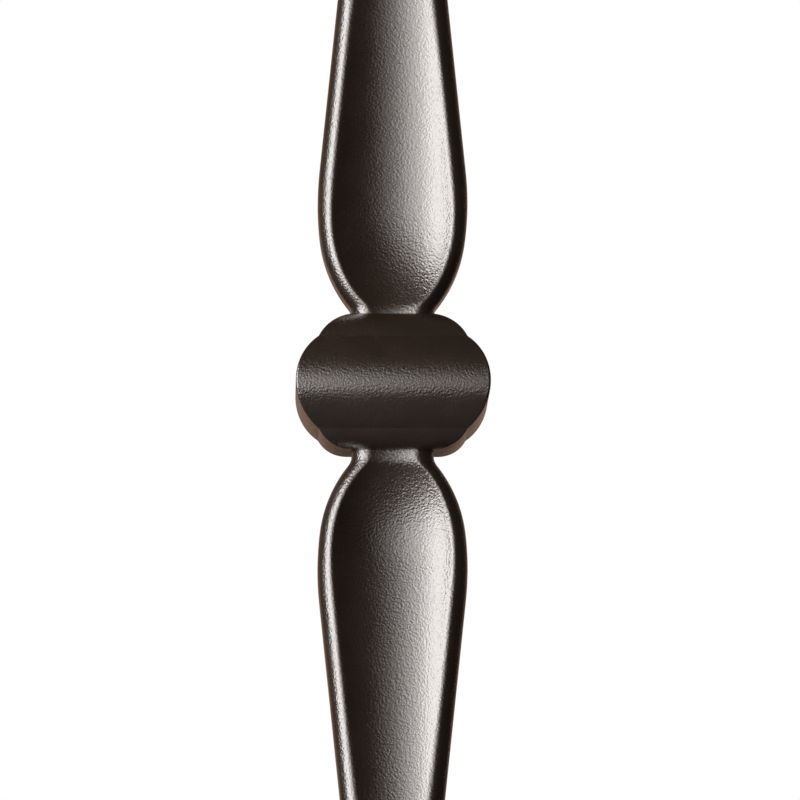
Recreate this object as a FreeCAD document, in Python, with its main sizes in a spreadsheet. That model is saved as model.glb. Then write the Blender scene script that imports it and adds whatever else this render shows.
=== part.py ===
import FreeCAD, Part

import os
from math import pi

import Sketcher

# A square iron baluster: a forged bar with two dished spoons, and a moulded collar wrapped round its neck.
# Millimetres, +Z up along the bar, origin in the middle of the lower end face, the collar's seam at +Y.

doc = FreeCAD.newDocument("baluster")
Constraint = Sketcher.Constraint

# Driving dimensions
SIZES = [
    ("bar_width", 12.7, "across the flats of the square bar, half an inch"),
    ("bar_length", 1117.6, "end to end, 44 inches"),
    ("bar_edge_radius", 1.2, "rounding along the edges of the plain bar"),
    ("end_chamfer", 0.6, "bevel round the two sawn ends"),
    ("knuckle_centre", 558.8, "from the lower end to the middle of the neck"),
    ("neck_reveal", 0.05, "straight neck that shows above the collar"),
    ("neck_fillet", 2.25, "hollow curve from the neck into a spoon's flare"),
    ("spoon_width", 23.2, "across a spoon at its widest"),
    ("spoon_widest", 28.4, "from the middle of the neck to a spoon's widest place"),
    ("spoon_end", 92.0, "from the middle of the neck to where a spoon has tapered into the bar"),
    ("flare_radius", 20.5, "a spoon's side from the neck fillet up"),
    ("crown_radius", 45.0, "a spoon's side round its widest place"),
    ("run_out_radius", 215.0, "hollow curve from a spoon's taper into the bar"),
    ("rim_radius", 3.1, "rounding of the forged edges of spoons and neck"),
    ("edge_fade", 26.0, "length over which the forged rounding sharpens to the bar's own"),
    ("dish_depth", 3.6, "depth of the hollow at its deepest"),
    ("dish_deepest", 26.0, "from the middle of the neck to the deepest place of a hollow"),
    ("rim_width", 1.95, "from the widest side of a spoon to the crest of its hollow"),
    ("neck_dish", 0.6, "depth of the hollow where it runs on along the neck"),
    ("lip_radius", 5.0, "soft lip where the hollow drops from the neck into a spoon"),
    ("dish_run_out", 4.0, "from the far tip of the hollow to the end of the spoon"),
    ("punch_margin", 0.5, "how far the punch that presses the hollow stands proud of the face"),
    ("collar_height", 21.1, "along the bar"),
    ("collar_width", 30.0, "across the big bead"),
    ("collar_lift", 0.38, "how far the collar sits above the middle of the neck"),
    ("collar_clearance", 0.05, "between the neck and the collar, each side"),
    ("strip_allowance", 1.0, "metal at the back of the strip that the hole is cut from"),
    ("shoulder_land", 0.3, "flat lower end of the collar next to the neck"),
    ("big_bead_radius", 9.0, "middle bead of the collar"),
    ("big_bead_drop", 0.53, "how far the big bead sits below the middle of the collar"),
    ("upper_bead_radius", 7.4, "upper bead of the collar"),
    ("upper_bead_centre", 4.85, "from the bar's axis to the centre of the upper bead's arc"),
    ("lower_bead_radius", 5.4, "lower bead of the collar"),
    ("seam_gap", 0.5, "between the collar's two ends at the back"),
]

sheet = doc.addObject("Spreadsheet::Sheet", "sizes")
for row, (alias, value, meaning) in enumerate(SIZES, start=1):
    sheet.set("A%d" % row, alias)
    sheet.set("B%d" % row, str(value))
    sheet.set("C%d" % row, meaning)
    sheet.setAlias("B%d" % row, alias)
doc.recompute()
size = {alias: value for alias, value, meaning in SIZES}

# Places that follow from the sizes, measured from the middle of the neck
HALF_BAR = "(sizes.bar_width / 2)"
HALF_HEIGHT = "(sizes.collar_height / 2)"
NECK_END = "(%s + sizes.collar_lift + sizes.neck_reveal)" % HALF_HEIGHT
DISH_END = "(sizes.spoon_end - sizes.dish_run_out)"
FADE_END = "(sizes.spoon_end + sizes.edge_fade)"
HOLE_HALF = "(%s + sizes.collar_clearance)" % HALF_BAR
STRIP_BACK = "(%s - sizes.strip_allowance)" % HOLE_HALF
HALF_SEAM = "sizes.seam_gap / 2"

# The hollow is pressed by a turned punch, whose axis runs along the bar in front of it
CREST = "(sizes.spoon_width / 2 - sizes.rim_width)"
AXIS_TO_FACE = "((%s ^ 2 - sizes.dish_depth ^ 2) / (2 * sizes.dish_depth))" % CREST


def point(x, y):
    return FreeCAD.Vector(x, y, 0)


def origin_plane(body, role):
    """One of the body's own three planes."""
    return next(item for item in body.Origin.OriginFeatures if item.Role == role)


def new_body(name, height):
    """A piece of the baluster, drawn about its middle, which lies at a height above the lower end."""
    body = doc.addObject("PartDesign::Body", name)
    body.Label = name
    body.setExpression("Placement.Base.z", height)
    return body


def new_sketch(body, name, role, offset="0"):
    """An empty sketch on a plane of the body, moved along that plane's normal."""
    sketch = body.newObject("Sketcher::SketchObject", name)
    sketch.AttachmentSupport = [(origin_plane(body, role), "")]
    sketch.MapMode = "FlatFace"
    sketch.setExpression("AttachmentOffset.Base.z", offset)
    return sketch


def line(sketch, first, second, construction=False):
    return sketch.addGeometry(Part.LineSegment(point(*first), point(*second)), construction)


def arc(sketch, first, middle, last):
    """An arc through three points; a sketch keeps it anticlockwise."""
    return sketch.addGeometry(Part.Arc(point(*first), point(*middle), point(*last)))


def hold(sketch, *constraint):
    sketch.addConstraint(Constraint(*constraint))


def bind(sketch, name, expression, *constraint):
    """Adds a named dimension to a sketch and ties it to the sheet."""
    index = sketch.addConstraint(Constraint(*constraint))
    sketch.renameConstraint(index, name)
    sketch.setExpression("Constraints.%s" % name, expression)


def add(body, kind, name):
    feature = body.newObject("PartDesign::%s" % kind, name)
    body.Tip = feature
    return feature


def pad(body, name, sketch, length, midplane=False, downward=False):
    """A sketch drawn out along its normal."""
    feature = add(body, "Pad", name)
    feature.Profile = sketch
    feature.setExpression("Length", length)
    feature.Midplane = midplane
    feature.Reversed = downward
    doc.recompute()
    return feature


def mirrored(body, name, role, originals=()):
    """The named features, or else the whole shape so far, mirrored in a plane of the body."""
    feature = add(body, "Mirrored", name)
    feature.TransformMode = "Features" if originals else "Whole shape"
    feature.Originals = list(originals)
    feature.MirrorPlane = (origin_plane(body, role), [""])
    doc.recompute()
    return feature


def dress(body, kind, name, size, expression, edges):
    """A fillet or chamfer on edges of the shape so far."""
    base = body.Tip
    feature = add(body, kind, name)
    feature.Base = (base, edges)
    feature.setExpression(size, expression)
    doc.recompute()
    return feature


def near(first, second):
    return abs(first - second) < 1e-4


def edges_where(body, wanted):
    """Names of the edges both of whose ends satisfy a test."""
    shape = body.Tip.Shape
    return ["Edge%d" % (index + 1) for index, edge in enumerate(shape.Edges)
            if all(wanted(vertex.Point) for vertex in edge.Vertexes)]


def rounded_square(body, name, height, side, radius):
    """A square section with rounded corners at a height, from half its width and its corner radius."""
    sketch = new_sketch(body, name, "XY_Plane", height)
    half = size["bar_width"] / 2
    corner = size["rim_radius"]
    flat = half - corner
    ends = [((half, -flat), (half, flat)), ((flat, half), (-flat, half)),
            ((-half, flat), (-half, -flat)), ((-flat, -half), (flat, -half))]
    for first, second in ends:
        line(sketch, first, second)
    for turn, (x, y) in enumerate([(flat, flat), (-flat, flat), (-flat, -flat), (flat, -flat)]):
        circle = Part.Circle(point(x, y), FreeCAD.Vector(0, 0, 1), corner)
        sketch.addGeometry(Part.ArcOfCircle(circle, turn * pi / 2, (turn + 1) * pi / 2))
    for leg in range(4):
        hold(sketch, "Tangent", leg, 2, leg + 4, 1)
        hold(sketch, "Tangent", leg + 4, 2, (leg + 1) % 4, 1)
        hold(sketch, "Horizontal" if leg % 2 else "Vertical", leg)
    for turn in range(5, 8):
        hold(sketch, "Equal", 4, turn)
    bind(sketch, "right", side, "DistanceX", -1, 1, 0, 1, half)
    bind(sketch, "left", side, "DistanceX", 2, 1, -1, 1, half)
    bind(sketch, "back", side, "DistanceY", -1, 1, 1, 1, half)
    bind(sketch, "front", side, "DistanceY", 3, 1, -1, 1, half)
    bind(sketch, "corner", radius, "Radius", 4, corner)
    return sketch


# The forged bar: a quarter of the front outline of neck and spoon, drawn out to the bar's thickness
bar = new_body("forged_bar", "sizes.knuckle_centre")
outline = new_sketch(bar, "spoon_outline", "XZ_Plane")
half = size["bar_width"] / 2
wide, widest, end = size["spoon_width"] / 2, size["spoon_widest"], size["spoon_end"]
top = size["collar_height"] / 2
neck = top + size["collar_lift"] + size["neck_reveal"]
fillet = size["neck_fillet"]
flare_start = (half + 0.22 * fillet, neck + 0.63 * fillet)
crown_start = (0.963 * wide, 0.79 * widest)
taper_start = (0.975 * wide, 1.16 * widest)
taper_end = (1.18 * half, 0.757 * end)
foot = line(outline, (0, 0), (half, 0))
neck_side = line(outline, (half, 0), (half, neck))
hollow = arc(outline, flare_start, (half + 0.07 * fillet, neck + 0.38 * fillet), (half, neck))
flare = arc(outline, flare_start, (0.79 * wide, 0.567 * widest), crown_start)
crown = arc(outline, crown_start, (wide, widest), taper_start)
taper = line(outline, taper_start, taper_end)
run_out = arc(outline, (half, end), (1.046 * half, 0.878 * end), taper_end)
head = line(outline, (half, end), (0, end))
spine = line(outline, (0, end), (0, 0))

hold(outline, "Coincident", foot, 1, -1, 1)
hold(outline, "Horizontal", foot)
hold(outline, "Coincident", foot, 2, neck_side, 1)
hold(outline, "Vertical", neck_side)
hold(outline, "Tangent", neck_side, 2, hollow, 2)
hold(outline, "Tangent", hollow, 1, flare, 1)
hold(outline, "Tangent", flare, 2, crown, 1)
hold(outline, "Tangent", crown, 2, taper, 1)
hold(outline, "Tangent", taper, 2, run_out, 2)
hold(outline, "Coincident", run_out, 1, head, 1)
hold(outline, "Horizontal", run_out, 1, run_out, 3)
hold(outline, "Horizontal", head)
hold(outline, "Coincident", head, 2, spine, 1)
hold(outline, "Coincident", spine, 2, -1, 1)
hold(outline, "Vertical", spine)
bind(outline, "half_bar", HALF_BAR, "DistanceX", -1, 1, foot, 2, half)
bind(outline, "neck_end", NECK_END, "DistanceY", -1, 1, neck_side, 2, neck)
bind(outline, "neck_fillet", "sizes.neck_fillet", "Radius", hollow, fillet)
bind(outline, "flare_radius", "sizes.flare_radius", "Radius", flare, size["flare_radius"])
bind(outline, "crown_radius", "sizes.crown_radius", "Radius", crown, size["crown_radius"])
bind(outline, "crown_depth", "sizes.crown_radius - sizes.spoon_width / 2",
     "DistanceX", crown, 3, -1, 1, size["crown_radius"] - wide)
bind(outline, "widest", "sizes.spoon_widest", "DistanceY", -1, 1, crown, 3, widest)
bind(outline, "run_out_radius", "sizes.run_out_radius", "Radius", run_out, size["run_out_radius"])
bind(outline, "half_end", HALF_BAR, "DistanceX", -1, 1, run_out, 1, half)
bind(outline, "spoon_end", "sizes.spoon_end", "DistanceY", -1, 1, run_out, 1, end)

pad(bar, "blank", outline, "sizes.bar_width", midplane=True)
mirrored(bar, "left_half", "YZ_Plane")
box = bar.Tip.Shape.BoundBox
on_faces = edges_where(bar, lambda p: near(abs(p.y), box.YMax))
on_ends = edges_where(bar, lambda p: near(p.z, box.ZMin)) + edges_where(bar, lambda p: near(p.z, box.ZMax))
dress(bar, "Fillet", "forged_rounding", "Radius", "sizes.rim_radius", sorted(set(on_faces) - set(on_ends)))

# The hollow: the turned punch's profile in the bar's middle plane, cut front and back
punch = new_sketch(bar, "punch_profile", "YZ_Plane")
crest = wide - size["rim_width"]
depth, shallow = size["dish_depth"], size["neck_dish"]
to_axis = half + (crest ** 2 - depth ** 2) / (2 * depth)
margin = size["punch_margin"]
proud = half + margin
low = size["dish_deepest"]
rise, fall = low - neck, depth - shallow
lip_share = size["lip_radius"] * 2 * fall / (rise ** 2 + fall ** 2)
lip_start = (shallow - half, neck)
lip_middle = (shallow + 0.25 * lip_share * fall - half, neck + 0.5 * lip_share * rise)
lip_end = (shallow + lip_share * fall - half, neck + lip_share * rise)
floor_end = (depth * 0.984 - half, 1.077 * low)
far_face = (-half, end - size["dish_run_out"])
far_end = (-proud, 1.09 * far_face[1])
axis = line(punch, (-to_axis, 0), (-to_axis, end), construction=True)
foot = line(punch, (-proud, -margin), (shallow - half, -margin))
trough = line(punch, (shallow - half, -margin), lip_start)
lip = arc(punch, lip_end, lip_middle, lip_start)
floor = arc(punch, lip_end, (depth - half, low), floor_end)
ramp = line(punch, floor_end, far_end)
back = line(punch, far_end, (-proud, -margin))
deepest = punch.addGeometry(Part.Point(point(depth - half, low)), True)
far_tip = punch.addGeometry(Part.Point(point(*far_face)), True)

hold(punch, "Vertical", axis)
hold(punch, "PointOnObject", axis, 1, -1)
hold(punch, "Horizontal", foot)
hold(punch, "Coincident", foot, 2, trough, 1)
hold(punch, "Vertical", trough)
hold(punch, "Tangent", trough, 2, lip, 2)
hold(punch, "Tangent", lip, 1, floor, 1)
hold(punch, "Tangent", floor, 2, ramp, 1)
hold(punch, "Coincident", ramp, 2, back, 1)
hold(punch, "Vertical", back)
hold(punch, "Coincident", back, 2, foot, 1)
hold(punch, "PointOnObject", deepest, 1, floor)
hold(punch, "Horizontal", deepest, 1, floor, 3)
hold(punch, "PointOnObject", far_tip, 1, ramp)
bind(punch, "axis", "%s + %s" % (HALF_BAR, AXIS_TO_FACE), "DistanceX", axis, 1, -1, 1, to_axis)
bind(punch, "axis_length", "sizes.spoon_end", "DistanceY", axis, 1, axis, 2, end)
bind(punch, "back", "%s + sizes.punch_margin" % HALF_BAR, "DistanceX", back, 1, -1, 1, proud)
bind(punch, "foot", "sizes.punch_margin", "DistanceY", foot, 1, -1, 1, margin)
bind(punch, "neck_dish", "%s - sizes.neck_dish" % HALF_BAR, "DistanceX", trough, 1, -1, 1, half - shallow)
bind(punch, "lip_start", NECK_END, "DistanceY", -1, 1, trough, 2, neck)
bind(punch, "lip_radius", "sizes.lip_radius", "Radius", lip, size["lip_radius"])
bind(punch, "deepest", "sizes.dish_deepest", "DistanceY", -1, 1, floor, 3, low)
bind(punch, "depth", "%s - sizes.dish_depth" % HALF_BAR, "DistanceX", deepest, 1, -1, 1, half - depth)
bind(punch, "far_face", HALF_BAR, "DistanceX", far_tip, 1, -1, 1, half)
bind(punch, "far_tip", DISH_END, "DistanceY", -1, 1, far_tip, 1, far_face[1])

front_dish = add(bar, "Groove", "front_dish")
front_dish.Profile = punch
front_dish.ReferenceAxis = (punch, ["Axis0"])
front_dish.Angle = 360
doc.recompute()
mirrored(bar, "back_dish", "XZ_Plane", [front_dish])

# Beyond the spoon the edges sharpen from the forged rounding to the bar's own
fade = add(bar, "AdditiveLoft", "edge_fade")
fade.Profile = rounded_square(bar, "soft_section", "sizes.spoon_end", HALF_BAR, "sizes.rim_radius")
fade.Sections = [rounded_square(bar, "crisp_section", FADE_END, HALF_BAR, "sizes.bar_edge_radius")]
bar.Tip = fade
doc.recompute()
mirrored(bar, "lower_half", "XY_Plane")

# The plain shanks out to the two sawn ends
upper = rounded_square(bar, "upper_section", FADE_END, HALF_BAR, "sizes.bar_edge_radius")
pad(bar, "upper_shank", upper, "sizes.bar_length - sizes.knuckle_centre - %s" % FADE_END)
lower = rounded_square(bar, "lower_section", "-%s" % FADE_END, HALF_BAR, "sizes.bar_edge_radius")
pad(bar, "lower_shank", lower, "sizes.knuckle_centre - %s" % FADE_END, downward=True)
box = bar.Tip.Shape.BoundBox
sawn = edges_where(bar, lambda p: near(p.z, box.ZMin)) + edges_where(bar, lambda p: near(p.z, box.ZMax))
dress(bar, "Chamfer", "sawn_ends", "Size", "sizes.end_chamfer", sawn)

# The collar: one strip with a moulded face, wrapped square round the neck
collar = new_body("knuckle_collar", "sizes.knuckle_centre + sizes.collar_lift")
path = new_sketch(collar, "wrap_path", "XY_Plane")
hole = half + size["collar_clearance"]
back, start = hole - size["strip_allowance"], size["seam_gap"] / 2
turns = [(start, back), (back, back), (back, -back), (-back, -back), (-back, back), (-start, back)]
for first, second in zip(turns, turns[1:]):
    line(path, first, second)
for leg in range(4):
    hold(path, "Coincident", leg, 2, leg + 1, 1)
for leg in range(5):
    hold(path, "Vertical" if leg % 2 else "Horizontal", leg)
bind(path, "seam_right", HALF_SEAM, "DistanceX", -1, 1, 0, 1, start)
bind(path, "seam_left", HALF_SEAM, "DistanceX", 4, 2, -1, 1, start)
bind(path, "back_right", STRIP_BACK, "DistanceY", -1, 1, 0, 1, back)
bind(path, "back_left", STRIP_BACK, "DistanceY", -1, 1, 4, 1, back)
bind(path, "right", STRIP_BACK, "DistanceX", -1, 1, 1, 1, back)
bind(path, "front", STRIP_BACK, "DistanceY", 2, 1, -1, 1, back)
bind(path, "left", STRIP_BACK, "DistanceX", 3, 1, -1, 1, back)

strip = new_sketch(collar, "strip_section", "YZ_Plane", HALF_SEAM)
reach, drop = size["collar_width"] / 2, size["big_bead_drop"]
land = hole + size["shoulder_land"]
low_notch = (0.735 * reach, -0.76 * top)
high_notch = (0.769 * reach, 0.62 * top)
lower_end = line(strip, (back, -top), (land, -top))
lower_bead = arc(strip, (land, -top), (0.64 * reach, -0.91 * top), low_notch)
big_bead = arc(strip, low_notch, (reach, -drop), high_notch)
upper_bead = arc(strip, high_notch, (0.64 * reach, 0.87 * top), (hole, top))
upper_end = line(strip, (hole, top), (back, top))
bore = line(strip, (back, top), (back, -top))
for edge in range(6):
    hold(strip, "Coincident", edge, 2, (edge + 1) % 6, 1)
hold(strip, "Horizontal", lower_end)
hold(strip, "Horizontal", upper_end)
hold(strip, "Vertical", bore)
hold(strip, "Vertical", lower_end, 2, lower_bead, 3)
bind(strip, "back", STRIP_BACK, "DistanceX", -1, 1, bore, 1, back)
bind(strip, "upper_end", HALF_HEIGHT, "DistanceY", -1, 1, bore, 1, top)
bind(strip, "lower_end", HALF_HEIGHT, "DistanceY", bore, 2, -1, 1, top)
bind(strip, "upper_edge", HOLE_HALF, "DistanceX", -1, 1, upper_end, 1, hole)
bind(strip, "lower_edge", "%s + sizes.shoulder_land" % HOLE_HALF, "DistanceX", -1, 1, lower_end, 2, land)
bind(strip, "lower_bead", "sizes.lower_bead_radius", "Radius", lower_bead, size["lower_bead_radius"])
bind(strip, "upper_bead", "sizes.upper_bead_radius", "Radius", upper_bead, size["upper_bead_radius"])
bind(strip, "upper_centre", "sizes.upper_bead_centre", "DistanceX", -1, 1, upper_bead, 3, size["upper_bead_centre"])
bind(strip, "big_bead", "sizes.big_bead_radius", "Radius", big_bead, size["big_bead_radius"])
bind(strip, "big_drop", "sizes.big_bead_drop", "DistanceY", big_bead, 3, -1, 1, drop)
bind(strip, "big_centre", "sizes.collar_width / 2 - sizes.big_bead_radius",
     "DistanceX", -1, 1, big_bead, 3, reach - size["big_bead_radius"])

wrap = add(collar, "AdditivePipe", "wrapped_strip")
wrap.Profile = strip
wrap.Spine = (path, ["Edge%d" % (leg + 1) for leg in range(5)])
wrap.Mode = "Standard"
wrap.Transition = "Right corner"
doc.recompute()

# The hole follows the neck's rounded edges
neck_hole = add(collar, "Pocket", "neck_hole")
neck_hole.Profile = rounded_square(collar, "hole_section", "0", HOLE_HALF, "sizes.rim_radius + sizes.collar_clearance")
neck_hole.Type = "ThroughAll"
neck_hole.Midplane = True
doc.recompute()

# Checks, then one file for each piece
for item in doc.Objects:
    if "Invalid" in item.State or "Error" in item.State:
        raise RuntimeError("%s: %s" % (item.Name, item.State))
os.makedirs("parts", exist_ok=True)
for piece in (bar, collar):
    if piece.Shape.isNull() or not piece.Shape.isValid() or len(piece.Shape.Solids) != 1:
        raise RuntimeError("%s is not one sound solid" % piece.Label)
    piece.Shape.exportStep("parts/%s.step" % piece.Label)
    print("%s: volume %.1f mm3, %d faces" % (piece.Label, piece.Shape.Volume, len(piece.Shape.Faces)))
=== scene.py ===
from math import acos, atan2, cos, radians, sin, sqrt, tan

import bmesh
import bpy
from mathutils import Matrix, Vector


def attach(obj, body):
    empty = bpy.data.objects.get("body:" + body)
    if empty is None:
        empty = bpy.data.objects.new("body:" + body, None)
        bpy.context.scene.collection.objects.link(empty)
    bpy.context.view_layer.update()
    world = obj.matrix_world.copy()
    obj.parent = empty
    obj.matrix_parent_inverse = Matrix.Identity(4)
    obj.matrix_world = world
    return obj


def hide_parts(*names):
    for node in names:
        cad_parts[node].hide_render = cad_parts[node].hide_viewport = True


# A dark bronze coated iron baluster: a forged bar with two dished spoons, and a moulded collar
# wrapped round the neck between them. Sizes are millimetres until a mesh is finished; the finished
# meshes are metres, in the frame of the solids.

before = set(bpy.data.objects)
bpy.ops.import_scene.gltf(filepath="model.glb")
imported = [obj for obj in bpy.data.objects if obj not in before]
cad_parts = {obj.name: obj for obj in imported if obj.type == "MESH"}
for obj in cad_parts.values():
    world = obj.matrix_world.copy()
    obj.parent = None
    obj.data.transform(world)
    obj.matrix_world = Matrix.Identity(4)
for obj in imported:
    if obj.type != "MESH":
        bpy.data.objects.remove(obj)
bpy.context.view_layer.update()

MM = 0.001
HALF_BAR = 6.35
BAR_LENGTH = 1117.6
KNUCKLE = 558.8
SPOON_HALF = 11.6
COLLAR_HALF = 15.0
COLLAR_HALF_HEIGHT = 10.55
COLLAR_LIFT = 0.38

# Outline of a spoon, with heights measured from the middle of the neck
NECK_END = COLLAR_HALF_HEIGHT + COLLAR_LIFT + 0.05
NECK_FILLET = 2.25
FLARE_RADIUS = 20.5
CROWN_RADIUS = 45.0
RUN_OUT_RADIUS = 215.0
WIDEST = 28.4
SPOON_END = 92.0
RIM_RADIUS = 3.1
BAR_EDGE = 1.2
FADE_END = SPOON_END + 26.0
END_CHAMFER = 0.6
LAST_RING = KNUCKLE - END_CHAMFER

# Rings of the bar, each row from one height to the next with the spacing between rings
RING_SPACING = [
    (0, 9.6, 3.2),
    (9.6, 14.5, 0.245),
    (14.5, 24, 0.5),
    (24, WIDEST, 1.1),
    (WIDEST, 60, 1.5),
    (60, SPOON_END, 2.5),
    (SPOON_END, FADE_END, 5.2),
    (FADE_END, LAST_RING, 110),
]
EDGE_STEPS = 10
FACE_CUTS = 23
SIDE_CUTS = 5
SAME_PLACE = 1e-3

# The hollow, pressed by a turned punch
DISH_DEPTH = 3.6
DISH_DEEPEST = 26.0
RIM_WIDTH = 1.95
NECK_DISH = 0.6
LIP_RADIUS = 5.0
DISH_END = SPOON_END - 4.0
PUNCH_PAST_END = 4
PUNCH_SWEEP = radians(104)
PUNCH_STEPS = 208
FIRST_SLOPE = radians(3.5)
SLOPE_ROUNDS = 40

# The collar's moulding
LAND = 0.3
BIG_BEAD = 9.0
BIG_DROP = 0.53
UPPER_BEAD = 7.4
UPPER_CENTRE = 4.85
LOWER_BEAD = 5.4
CLEARANCE = 0.05
SEAM = 0.5
MITRE_EDGE = 0.35
MITRE_STEPS = 8
INNER_EDGE = 0.4
BIG_BEAD_STEP = 3
SMALL_BEAD_STEP = 5
CUT_PAST_END = 5

# Edges sharper than this stay sharp, in degrees
BAR_SMOOTH = 60
COLLAR_SMOOTH = 14


def start_piece(name):
    """An empty mesh object, in edit mode."""
    bpy.ops.object.select_all(action="DESELECT")
    bpy.ops.mesh.primitive_plane_add(size=1)
    piece = bpy.context.object
    piece.name = name
    piece.data.name = name
    bpy.ops.object.mode_set(mode="EDIT")
    bpy.ops.mesh.delete(type="VERT")
    return piece


def add_ring(height, half_x, half_y, radius, segments):
    """A rounded rectangle across the bar, left selected."""
    bpy.ops.mesh.primitive_plane_add(size=2, location=(0, 0, height))
    bpy.ops.transform.resize(value=(half_x, half_y, 1))
    bpy.ops.mesh.bevel(offset_type="OFFSET", offset=radius, segments=segments, profile=0.5,
                       affect="VERTICES", clamp_overlap=False)


def skin_rings():
    """Joins the stacked rings of the mesh in edit mode and closes the two ends."""
    bpy.ops.mesh.select_all(action="SELECT")
    bpy.ops.mesh.delete(type="ONLY_FACE")
    bpy.ops.mesh.select_all(action="SELECT")
    bpy.ops.mesh.bridge_edge_loops(type="SINGLE")
    bpy.ops.mesh.select_all(action="DESELECT")
    bpy.ops.mesh.select_mode(type="EDGE")
    bpy.ops.mesh.select_non_manifold()
    bpy.ops.mesh.edge_face_add()
    bpy.ops.mesh.select_all(action="SELECT")
    bpy.ops.mesh.normals_make_consistent(inside=False)


def select_edges(piece, wanted):
    """Selects the edges that satisfy a test on their two ends."""
    bpy.ops.mesh.select_mode(type="EDGE")
    bpy.ops.mesh.select_all(action="DESELECT")
    mesh = bmesh.from_edit_mesh(piece.data)
    for edge in mesh.edges:
        edge.select_set(wanted(edge.verts[0].co, edge.verts[1].co))
    bmesh.update_edit_mesh(piece.data)


def apply(piece, name):
    """Makes a modifier's result the piece's own mesh."""
    bpy.context.view_layer.objects.active = piece
    bpy.ops.object.modifier_apply(modifier=name)


def outline_circles():
    """Centres of the arcs of a spoon's side, the start and the normal of its straight taper, and
    the heights where they meet, with places as (half-width, height)."""
    neck = Vector((HALF_BAR + NECK_FILLET, NECK_END))
    crown = Vector((SPOON_HALF - CROWN_RADIUS, WIDEST))
    run_out = Vector((HALF_BAR + RUN_OUT_RADIUS, SPOON_END))
    near, far = FLARE_RADIUS + NECK_FILLET, CROWN_RADIUS - FLARE_RADIUS
    way = crown - neck
    along = (near ** 2 - far ** 2 + way.length_squared) / (2 * way.length)
    aside = sqrt(near ** 2 - along ** 2)
    unit = way.normalized()
    flare = neck + unit * along + Vector((unit.y, -unit.x)) * aside
    across = run_out - crown
    turn = atan2(across.y, across.x) - acos((CROWN_RADIUS + RUN_OUT_RADIUS) / across.length)
    normal = Vector((cos(turn), sin(turn)))
    taper = crown + normal * CROWN_RADIUS
    joints = [
        (neck + (flare - neck).normalized() * NECK_FILLET).y,
        (crown + (flare - crown).normalized() * CROWN_RADIUS).y,
        taper.y,
        (run_out - normal * RUN_OUT_RADIUS).y,
    ]
    return neck, flare, crown, run_out, taper, normal, joints


NECK_C, FLARE_C, CROWN_C, RUN_OUT_C, TAPER_START, TAPER_NORMAL, JOINTS = outline_circles()


def half_width(up):
    """Half the width of the bar at a height from the middle of the neck."""
    up = abs(up)
    if up <= NECK_END or up >= SPOON_END:
        return HALF_BAR
    if up < JOINTS[0]:
        return NECK_C.x - sqrt(NECK_FILLET ** 2 - (up - NECK_C.y) ** 2)
    if up < JOINTS[1]:
        return FLARE_C.x + sqrt(FLARE_RADIUS ** 2 - (up - FLARE_C.y) ** 2)
    if up < JOINTS[2]:
        return CROWN_C.x + sqrt(CROWN_RADIUS ** 2 - (up - CROWN_C.y) ** 2)
    if up < JOINTS[3]:
        return TAPER_START.x - (up - TAPER_START.y) * TAPER_NORMAL.y / TAPER_NORMAL.x
    return RUN_OUT_C.x - sqrt(RUN_OUT_RADIUS ** 2 - (up - RUN_OUT_C.y) ** 2)


def edge_radius(up):
    """Rounding of the bar's edges at a height from the middle of the neck."""
    share = min(max((abs(up) - SPOON_END) / (FADE_END - SPOON_END), 0), 1)
    return RIM_RADIUS + (BAR_EDGE - RIM_RADIUS) * share


def steps(first, last, size):
    """Evenly spaced values from first up to, but not with, last."""
    count = max(1, round(abs((last - first) / size)))
    return [first + (last - first) * i / count for i in range(count)]


# The forged bar
def bar_heights():
    """Heights of the rings above and below the middle of the neck, from the lowest up."""
    up = [height for row in RING_SPACING for height in steps(*row)]
    up.append(LAST_RING)
    return sorted({-value for value in up} | set(up))


def make_bar():
    """The bar with the outline of both spoons, before its hollows are pressed."""
    piece = start_piece("bar_with_spoons")
    end_half = HALF_BAR - END_CHAMFER
    end_edge = BAR_EDGE - END_CHAMFER / 2
    add_ring(0, end_half, end_half, end_edge, EDGE_STEPS)
    for up in bar_heights():
        add_ring(KNUCKLE + up, half_width(up), HALF_BAR, edge_radius(up), EDGE_STEPS)
    add_ring(BAR_LENGTH, end_half, end_half, end_edge, EDGE_STEPS)
    skin_rings()
    select_edges(piece, lambda a, b: a.z == b.z and a.y == b.y and abs(a.x + b.x) < SAME_PLACE)
    bpy.ops.mesh.subdivide(number_cuts=FACE_CUTS)
    select_edges(piece, lambda a, b: a.z == b.z and a.x == b.x and abs(a.y + b.y) < SAME_PLACE)
    bpy.ops.mesh.subdivide(number_cuts=SIDE_CUTS)
    bpy.ops.object.mode_set(mode="OBJECT")
    return piece


def punch_profile():
    """Points up the punch's side, as (depth below the bar's face, height from the neck's middle)."""
    rise, fall = DISH_DEEPEST - NECK_END, DISH_DEPTH - NECK_DISH
    floor_radius = (rise ** 2 + fall ** 2) / (2 * fall) - LIP_RADIUS
    steepest = 2 * atan2(fall, rise)
    slope = FIRST_SLOPE
    for _ in range(SLOPE_ROUNDS):
        run = DISH_END - DISH_DEEPEST - floor_radius * sin(slope)
        slope = atan2(DISH_DEPTH - floor_radius * (1 - cos(slope)), run)

    def on_floor(turn):
        depth = DISH_DEPTH - floor_radius * (1 - cos(turn))
        return depth, DISH_DEEPEST + floor_radius * sin(turn)

    points = [(NECK_DISH, up) for up in steps(0, NECK_END, 1.0)]
    for turn in steps(0, steepest, radians(1.5)):
        points.append((NECK_DISH + LIP_RADIUS * (1 - cos(turn)), NECK_END + LIP_RADIUS * sin(turn)))
    points += [on_floor(turn) for turn in steps(-steepest, slope, radians(0.4))]
    depth, up = on_floor(slope)
    for share in steps(0, 1.0001, 0.02):
        reach = (DISH_END - up + PUNCH_PAST_END) * share
        points.append((depth - reach * tan(slope), up + reach))
    return points


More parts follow.
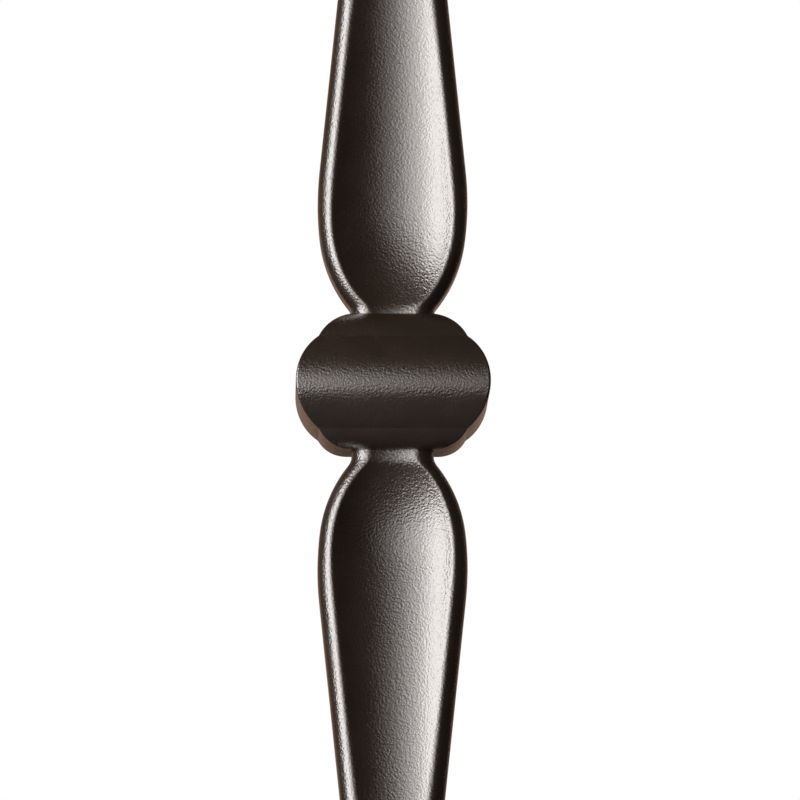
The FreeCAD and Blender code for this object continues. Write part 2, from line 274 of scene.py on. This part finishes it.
def make_punch(side):
    """The turned punch that presses the hollow of the front (-1) or back (1), along the neck and
    both spoons."""
    crest = SPOON_HALF - RIM_WIDTH
    to_face = (crest ** 2 - DISH_DEPTH ** 2) / (2 * DISH_DEPTH)
    axis = (0, side * (HALF_BAR + to_face), 0)
    punch = start_piece("punch")
    mesh = bmesh.from_edit_mesh(punch.data)
    above = punch_profile()
    below = [(depth, -up) for depth, up in reversed(above[1:])]
    row = [mesh.verts.new((0, side * (HALF_BAR - depth), KNUCKLE + up)) for depth, up in below + above]
    for first, second in zip(row, row[1:]):
        mesh.edges.new((first, second))
    bmesh.update_edit_mesh(punch.data)
    bpy.ops.mesh.select_all(action="SELECT")
    bpy.ops.transform.rotate(value=-PUNCH_SWEEP / 2, orient_axis="Z", center_override=axis)
    bpy.ops.mesh.select_all(action="SELECT")
    bpy.ops.mesh.spin(steps=PUNCH_STEPS, angle=PUNCH_SWEEP, center=axis, axis=(0, 0, 1))
    bpy.ops.object.mode_set(mode="OBJECT")
    return punch


def press(piece, side):
    """Presses the hollows of one face into the bar."""
    punch = make_punch(side)
    wrap = piece.modifiers.new("press", "SHRINKWRAP")
    wrap.target = punch
    wrap.wrap_method = "PROJECT"
    wrap.use_project_y = True
    wrap.use_positive_direction = side < 0
    wrap.use_negative_direction = side > 0
    apply(piece, "press")
    bpy.data.objects.remove(punch)


def finish_piece(piece, levels, smooth_angle):
    """Softens the mesh, turns it into metres and shades it smooth."""
    bpy.ops.object.select_all(action="DESELECT")
    piece.select_set(True)
    bpy.context.view_layer.objects.active = piece
    if levels:
        soften = piece.modifiers.new("soften", "SUBSURF")
        soften.levels = levels
        soften.render_levels = levels
        apply(piece, "soften")
    piece.data.transform(Matrix.Scale(MM, 4))
    bpy.ops.object.shade_smooth_by_angle(angle=radians(smooth_angle))


bar = make_bar()
press(bar, -1)
press(bar, 1)
finish_piece(bar, 1, BAR_SMOOTH)


# The collar
def crossing(first, first_radius, second, second_radius):
    """The outer of the two places where two circles cross."""
    way = second - first
    along = (first_radius ** 2 - second_radius ** 2 + way.length_squared) / (2 * way.length)
    aside = sqrt(first_radius ** 2 - along ** 2)
    unit = way.normalized()
    middle = first + unit * along
    across = Vector((unit.y, -unit.x)) * aside
    return max(middle + across, middle - across, key=lambda place: place.x)


def moulding():
    """The collar's side as (half-width, height from its middle), from its lower to its upper end."""
    hole = HALF_BAR + CLEARANCE
    upper_rise = sqrt(UPPER_BEAD ** 2 - (hole - UPPER_CENTRE) ** 2)
    lower = Vector((hole + LAND, LOWER_BEAD - COLLAR_HALF_HEIGHT))
    big = Vector((COLLAR_HALF - BIG_BEAD, -BIG_DROP))
    upper = Vector((UPPER_CENTRE, COLLAR_HALF_HEIGHT - upper_rise))
    inner_x = hole - INNER_EDGE
    inner = Vector((inner_x, upper.y + sqrt(UPPER_BEAD ** 2 - (inner_x - UPPER_CENTRE) ** 2)))
    low_end = Vector((lower.x, -COLLAR_HALF_HEIGHT))
    low_notch = crossing(big, BIG_BEAD, lower, LOWER_BEAD)
    high_notch = crossing(big, BIG_BEAD, upper, UPPER_BEAD)
    beads = [
        (lower, LOWER_BEAD, low_end, low_notch, SMALL_BEAD_STEP),
        (big, BIG_BEAD, low_notch, high_notch, BIG_BEAD_STEP),
        (upper, UPPER_BEAD, high_notch, inner, SMALL_BEAD_STEP),
    ]
    points = []
    for centre, radius, first, last, step in beads:
        start, stop = [atan2(end.y - centre.y, end.x - centre.x) for end in (first, last)]
        points += [(centre.x + radius * cos(turn), centre.y + radius * sin(turn))
                   for turn in steps(start, stop, radians(step))]
    return points + [tuple(inner)]


def cut(piece, cutter):
    """Takes a cutter away from a piece, and then the cutter itself."""
    bore = piece.modifiers.new("cut", "BOOLEAN")
    bore.operation = "DIFFERENCE"
    bore.solver = "EXACT"
    bore.object = cutter
    apply(piece, "cut")
    bpy.data.objects.remove(cutter)


def make_collar():
    """The moulded collar with the hole for the neck and the seam at the back."""
    piece = start_piece("moulded_collar")
    for half, up in moulding():
        add_ring(KNUCKLE + COLLAR_LIFT + up, half, half, MITRE_EDGE, MITRE_STEPS)
    skin_rings()
    bpy.ops.object.mode_set(mode="OBJECT")

    cutter = start_piece("cutter")
    hole = HALF_BAR + CLEARANCE
    reach = COLLAR_HALF_HEIGHT + CUT_PAST_END
    for up in (-reach, reach):
        add_ring(KNUCKLE + up, hole, hole, RIM_RADIUS + CLEARANCE, MITRE_STEPS)
    skin_rings()
    bpy.ops.object.mode_set(mode="OBJECT")
    cut(piece, cutter)
    bpy.ops.mesh.primitive_cube_add(size=1, location=(0, COLLAR_HALF * 0.75, KNUCKLE))
    slot = bpy.context.object
    slot.scale = (SEAM, COLLAR_HALF, COLLAR_HALF * 2)
    cut(piece, slot)
    return piece


collar = make_collar()
finish_piece(collar, 0, COLLAR_SMOOTH)

# The coat: dark bronze powder paint with a fine orange-peel surface
COAT_IOR = 2.0
COAT_SPECULAR = 0.9
COAT_DARK = (0.036, 0.0225, 0.0150, 1)
COAT_LIGHT = (0.048, 0.0305, 0.0210, 1)
COAT_ROUGHNESS = (0.25, 0.28)
TONE_SCALE = 160
TONE_DETAIL = 3
TONE_RANGE = (0.3, 0.7)
PEEL_SCALE = 3000
PEEL_DETAIL = 1.0
PEEL_DEPTH = 0.00007


def make_coat():
    """The paint that both pieces share."""
    coat = bpy.data.materials.new("dark_bronze_coat")
    coat.use_nodes = True
    nodes, links = coat.node_tree.nodes, coat.node_tree.links
    shader = nodes["Principled BSDF"]
    shader.inputs["IOR"].default_value = COAT_IOR
    shader.inputs["Specular IOR Level"].default_value = COAT_SPECULAR
    place = nodes.new("ShaderNodeTexCoord")

    def noise(scale, detail):
        node = nodes.new("ShaderNodeTexNoise")
        node.inputs["Scale"].default_value = scale
        node.inputs["Detail"].default_value = detail
        links.new(place.outputs["Object"], node.inputs["Vector"])
        return node

    tone = noise(TONE_SCALE, TONE_DETAIL)
    ramp = nodes.new("ShaderNodeValToRGB")
    for stop, position, colour in zip(ramp.color_ramp.elements, TONE_RANGE, (COAT_DARK, COAT_LIGHT)):
        stop.position = position
        stop.color = colour
    links.new(tone.outputs["Fac"], ramp.inputs["Fac"])
    links.new(ramp.outputs["Color"], shader.inputs["Base Color"])

    sheen = nodes.new("ShaderNodeMapRange")
    sheen.inputs["From Min"].default_value, sheen.inputs["From Max"].default_value = TONE_RANGE
    sheen.inputs["To Min"].default_value, sheen.inputs["To Max"].default_value = COAT_ROUGHNESS
    links.new(tone.outputs["Fac"], sheen.inputs["Value"])
    links.new(sheen.outputs["Result"], shader.inputs["Roughness"])

    peel = noise(PEEL_SCALE, PEEL_DETAIL)
    bump = nodes.new("ShaderNodeBump")
    bump.inputs["Strength"].default_value = 1.0
    bump.inputs["Distance"].default_value = PEEL_DEPTH
    links.new(peel.outputs["Fac"], bump.inputs["Height"])
    links.new(bump.outputs["Normal"], shader.inputs["Normal"])
    return coat


coat = make_coat()
for piece, node in ((bar, "forged_bar"), (collar, "knuckle_collar")):
    piece.data.materials.clear()
    piece.data.materials.append(coat)
    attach(piece, "root")
    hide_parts(node)
    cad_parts[node].data.materials.clear()
    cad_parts[node].data.materials.append(coat)

# Studio: a pale floor, three soft lamps at the front left that fade towards the front, one lamp
# behind at the right that the coat does not reflect, a dim room and a white backdrop
FLOOR_RADIUS = 4.0
FLOOR_CORNERS = 96
FLOOR_LIT = 0.25
FLOOR_REFLECTED = 0.08
FLOOR_GLOW = 0.76
FLOOR_FADE = (0.5, 0.9 * FLOOR_RADIUS)
LAMP_COLOUR = (1.0, 0.965, 0.945)
ROOM_COLOUR = (0.024, 0.020, 0.017, 1)
BACKDROP_COLOUR = (0.42, 0.27, 0.20, 1)
BACKDROP_RANGE = (0.58, 0.97)


def make_floor():
    """A pale round floor that fades into the white backdrop; the coat reflects it dimly."""
    bpy.ops.object.select_all(action="DESELECT")
    bpy.ops.mesh.primitive_circle_add(vertices=FLOOR_CORNERS, radius=FLOOR_RADIUS, fill_type="NGON",
                                      location=(0, 0, 0))
    floor = bpy.context.object
    floor.name = "floor"
    paint = bpy.data.materials.new("pale_floor")
    paint.use_nodes = True
    nodes, links = paint.node_tree.nodes, paint.node_tree.links
    shader = nodes["Principled BSDF"]
    shader.inputs["Roughness"].default_value = 0.9
    shader.inputs["Specular IOR Level"].default_value = 0.0
    path = nodes.new("ShaderNodeLightPath")
    tone = nodes.new("ShaderNodeMath")
    tone.operation = "MULTIPLY_ADD"
    links.new(path.outputs["Is Camera Ray"], tone.inputs[0])
    tone.inputs[1].default_value = FLOOR_LIT - FLOOR_REFLECTED
    tone.inputs[2].default_value = FLOOR_REFLECTED
    links.new(tone.outputs["Value"], shader.inputs["Base Color"])

    place = nodes.new("ShaderNodeTexCoord")
    away = nodes.new("ShaderNodeVectorMath")
    away.operation = "LENGTH"
    links.new(place.outputs["Object"], away.inputs[0])
    fade = nodes.new("ShaderNodeMapRange")
    fade.interpolation_type = "SMOOTHSTEP"
    fade.inputs["From Min"].default_value, fade.inputs["From Max"].default_value = FLOOR_FADE
    fade.inputs["To Min"].default_value = FLOOR_GLOW
    fade.inputs["To Max"].default_value = 1.0
    links.new(away.outputs["Value"], fade.inputs["Value"])
    seen = nodes.new("ShaderNodeMath")
    seen.operation = "MULTIPLY"
    links.new(fade.outputs["Result"], seen.inputs[0])
    links.new(path.outputs["Is Camera Ray"], seen.inputs[1])
    glow = nodes.new("ShaderNodeEmission")
    links.new(seen.outputs["Value"], glow.inputs["Strength"])
    lit = nodes.new("ShaderNodeAddShader")
    links.new(shader.outputs["BSDF"], lit.inputs[0])
    links.new(glow.outputs["Emission"], lit.inputs[1])
    links.new(lit.outputs["Shader"], nodes["Material Output"].inputs["Surface"])
    floor.data.materials.append(paint)


def bearing(turn, rise):
    """A direction from the front (turn 0), turned to the right and raised, in degrees."""
    turn, rise = radians(turn), radians(rise)
    return Vector((sin(turn) * cos(rise), -cos(turn) * cos(rise), sin(rise)))


def make_lamp(name, facing, sides, ends, half_spread, distance, radiance):
    """A soft lamp whose plane faces along a bearing, and which the knuckle sees between two turns
    and two rises."""
    turn, rise = facing
    left, right = [distance * tan(radians(side - turn)) for side in sides]
    low, high = [distance * tan(radians(end - rise)) for end in ends]
    lamp_data = bpy.data.lights.new(name, "AREA")
    lamp_data.shape = "RECTANGLE"
    lamp_data.color = LAMP_COLOUR
    lamp_data.size = right - left
    lamp_data.size_y = high - low
    spread = radians(half_spread)
    lamp_data.spread = 2 * spread
    area = lamp_data.size * lamp_data.size_y
    lamp_data.energy = 4 * area * radiance * (1 - spread / tan(spread))
    lamp = bpy.data.objects.new(name, lamp_data)
    bpy.context.scene.collection.objects.link(lamp)
    turned = bearing(turn, rise).to_track_quat("Z", "Y")
    offset = turned @ Vector(((left + right) / 2, (low + high) / 2, distance))
    lamp.location = Vector((0, 0, KNUCKLE * MM)) + offset
    lamp.rotation_mode = "QUATERNION"
    lamp.rotation_quaternion = turned
    return lamp


def make_world():
    """White to the camera, a tan backdrop behind the object in reflections, a dim room otherwise."""
    world = bpy.data.worlds.new("studio")
    bpy.context.scene.world = world
    world.use_nodes = True
    nodes, links = world.node_tree.nodes, world.node_tree.links
    room = nodes["Background"]
    room.inputs["Color"].default_value = ROOM_COLOUR
    backdrop = nodes.new("ShaderNodeBackground")
    backdrop.inputs["Color"].default_value = BACKDROP_COLOUR
    white = nodes.new("ShaderNodeBackground")
    white.inputs["Color"].default_value = (1, 1, 1, 1)
    place = nodes.new("ShaderNodeTexCoord")
    split = nodes.new("ShaderNodeSeparateXYZ")
    links.new(place.outputs["Generated"], split.inputs["Vector"])
    behind = nodes.new("ShaderNodeMapRange")
    behind.interpolation_type = "SMOOTHSTEP"
    behind.inputs["From Min"].default_value, behind.inputs["From Max"].default_value = BACKDROP_RANGE
    links.new(split.outputs["Y"], behind.inputs["Value"])
    path = nodes.new("ShaderNodeLightPath")
    shine = nodes.new("ShaderNodeMath")
    shine.operation = "MULTIPLY"
    links.new(behind.outputs["Result"], shine.inputs[0])
    links.new(path.outputs["Is Glossy Ray"], shine.inputs[1])
    seen = nodes.new("ShaderNodeMixShader")
    links.new(shine.outputs["Value"], seen.inputs["Fac"])
    links.new(room.outputs["Background"], seen.inputs[1])
    links.new(backdrop.outputs["Background"], seen.inputs[2])
    choose = nodes.new("ShaderNodeMixShader")
    links.new(path.outputs["Is Camera Ray"], choose.inputs["Fac"])
    links.new(seen.outputs["Shader"], choose.inputs[1])
    links.new(white.outputs["Background"], choose.inputs[2])
    links.new(choose.outputs["Shader"], nodes["World Output"].inputs["Surface"])


make_floor()
make_lamp("left_softbox", facing=(-59, 5), sides=(-76, -43), ends=(-20, 31), half_spread=85,
          distance=1.0, radiance=3.75)
make_lamp("left_wing", facing=(-43, 0), sides=(-43, -6), ends=(-22, 28), half_spread=38,
          distance=1.1, radiance=1.8)
make_lamp("front_fill", facing=(-20, -13), sides=(-42, 24), ends=(-16, 34), half_spread=46,
          distance=1.2, radiance=0.85)
back_light = make_lamp("back_light", facing=(145, 8), sides=(125, 165), ends=(-20, 40), half_spread=40,
                       distance=1.2, radiance=7.0)
back_light.visible_glossy = False
make_world()

# Camera: close on the knuckle, a little from the left and from below
CAMERA_DISTANCE = 2.0
CAMERA_FIELD = 123.84 * MM
CAMERA_SENSOR = 36
CAMERA_AIM = (1.17 * MM, 0, (KNUCKLE - 1.91) * MM)
CAMERA_BEARING = (-0.6, -5.3)


def make_camera():
    """A camera whose field is as wide as the photograph at the knuckle."""
    camera_data = bpy.data.cameras.new("camera")
    camera = bpy.data.objects.new("camera", camera_data)
    bpy.context.scene.collection.objects.link(camera)
    camera_data.sensor_width = CAMERA_SENSOR
    camera_data.lens = CAMERA_SENSOR * CAMERA_DISTANCE / CAMERA_FIELD
    camera_data.clip_end = 100
    way = bearing(*CAMERA_BEARING)
    camera.location = Vector(CAMERA_AIM) + way * CAMERA_DISTANCE
    camera.rotation_mode = "QUATERNION"
    camera.rotation_quaternion = way.to_track_quat("Z", "Y")
    bpy.context.scene.camera = camera


make_camera()
bpy.context.scene.view_settings.view_transform = "Standard"
